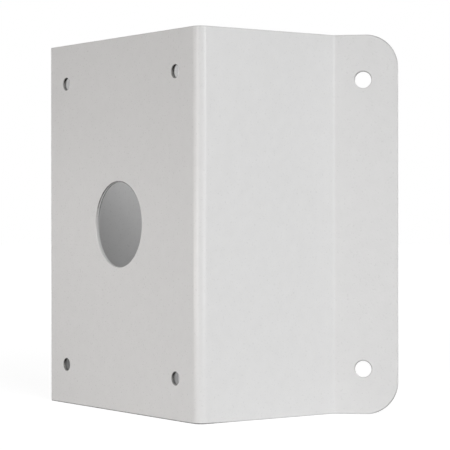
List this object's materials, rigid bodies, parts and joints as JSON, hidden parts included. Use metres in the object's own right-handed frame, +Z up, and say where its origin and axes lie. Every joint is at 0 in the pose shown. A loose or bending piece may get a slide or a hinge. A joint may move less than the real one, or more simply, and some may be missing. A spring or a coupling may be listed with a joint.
{
  "type": "camera corner mount bracket",
  "caption": "Folded sheet steel bracket that carries a camera's wall arm on the outside corner of a building, with a cable hole, tapped camera holes and angled wall flanges.",
  "frame": {"origin": "on the floor in the middle of the bracket's box, below its lower cut edges", "axes": "+Z up along the folds, -Y out of the front plate towards the camera, +Y towards the building, +X towards the right wall flange"},
  "size_m": [0.208, 0.1176, 0.21],
  "materials": {
    "powder_coated_steel": "satin pale grey powder coat",
    "bare_thread": "dark cut steel thread"
  },
  "bodies": {
    "root": {"corner_bracket": "powder_coated_steel"}
  },
  "joints": []
}
